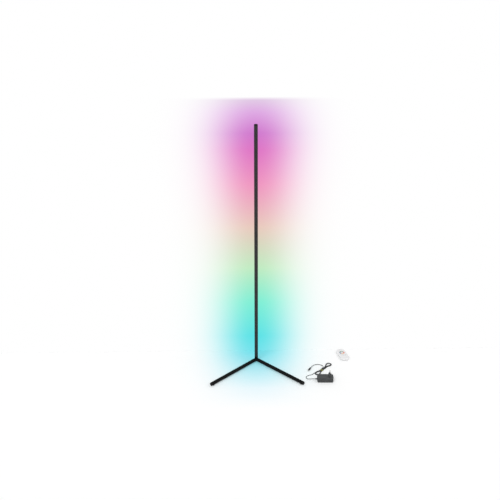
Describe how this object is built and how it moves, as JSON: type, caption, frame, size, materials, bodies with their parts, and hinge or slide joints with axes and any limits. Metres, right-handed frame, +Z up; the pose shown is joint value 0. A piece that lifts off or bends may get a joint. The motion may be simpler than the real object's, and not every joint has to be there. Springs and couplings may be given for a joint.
{
  "type": "corner floor lamp",
  "caption": "Slim round-tube corner floor lamp: tall mast on two splayed floor legs, light strip down its back, with plug-in power adapter, tied cord and touch remote.",
  "frame": {"origin": "on the floor, in the middle of the corner foot's underside, under the mast's axis", "axes": "+Z up along the mast; +Y away from the legs, the way the light strip faces; +X to the right seen from the front"},
  "size_m": [0.817, 0.3609, 1.4],
  "materials": {
    "mast_anodised": "satin",
    "leg_paint": "matte",
    "corner_metal": "matte",
    "black_plastic": "satin",
    "foot_rubber": "matte",
    "spigot_metal": "satin",
    "screw_steel": "satin",
    "diffuser_silicone": "satin",
    "tape_white": "satin",
    "led_phosphor": "satin",
    "board_green": "satin",
    "wire_red": "satin",
    "wire_white": "satin",
    "socket_plastic": "satin",
    "pin_nickel": "gloss",
    "adapter_plastic": "satin",
    "transformer_core": "matte",
    "capacitor_sleeve": "satin",
    "sink_metal": "satin",
    "cord_jacket": "satin",
    "tie_plastic": "satin",
    "remote_plastic": "gloss",
    "wheel_print": "gloss",
    "cell_jacket": "gloss",
    "contact_steel": "polished"
  },
  "bodies": {
    "lamp": {"corner_connector": "corner_metal", "mast_lower_section": "mast_anodised", "mast_middle_section": "mast_anodised", "mast_upper_section": "mast_anodised", "lower_joint_spigot": "spigot_metal", "upper_joint_spigot": "spigot_metal", "mast_cap": "black_plastic", "left_leg_tube": "leg_paint", "left_leg_cap": "black_plastic", "right_leg_tube": "leg_paint", "right_leg_cap": "black_plastic", "corner_foot": "foot_rubber", "left_foot": "foot_rubber", "right_foot": "foot_rubber", "mast_screws": "screw_steel", "leg_screws": "screw_steel", "diffuser": "diffuser_silicone", "led_tape": "tape_white", "led_chips": "led_phosphor", "controller_board": "board_green", "supply_wire": "wire_red", "feed_wire": "wire_white", "dc_socket": "socket_plastic", "dc_socket_pin": "pin_nickel"},
    "power_adapter": {"adapter_base": "adapter_plastic", "adapter_cover": "adapter_plastic", "mains_pins": "pin_nickel", "adapter_board": "board_green", "transformer": "transformer_core", "smoothing_capacitor": "capacitor_sleeve", "heat_sink": "sink_metal", "cord_gland": "cord_jacket", "cord_hank": "cord_jacket", "cord_to_hank": "cord_jacket", "cord_to_plug": "cord_jacket", "cable_tie": "tie_plastic", "dc_plug_body": "cord_jacket", "dc_plug_barrel": "pin_nickel"},
    "remote": {"remote_front": "remote_plastic", "colour_wheel": "wheel_print", "remote_back": "remote_plastic", "remote_screws": "screw_steel", "touch_board": "board_green", "left_cell": "cell_jacket", "right_cell": "cell_jacket", "cell_plates": "contact_steel", "cell_springs": "contact_steel"},
    "battery_door": {"battery_door": "remote_plastic"}
  },
  "joints": [
    {"name": "adapter_lift", "type": "slide", "parent": "lamp", "child": "power_adapter", "axis": [0, 0, 1], "range_m": [0, 0.15]},
    {"name": "remote_lift", "type": "slide", "parent": "lamp", "child": "remote", "axis": [0, 0, 1], "range_m": [0, 0.15]},
    {"name": "battery_door_slide", "type": "slide", "parent": "remote", "child": "battery_door", "axis": [0.1959, -0.9806, 0], "range_m": [0, 0.045]}
  ]
}
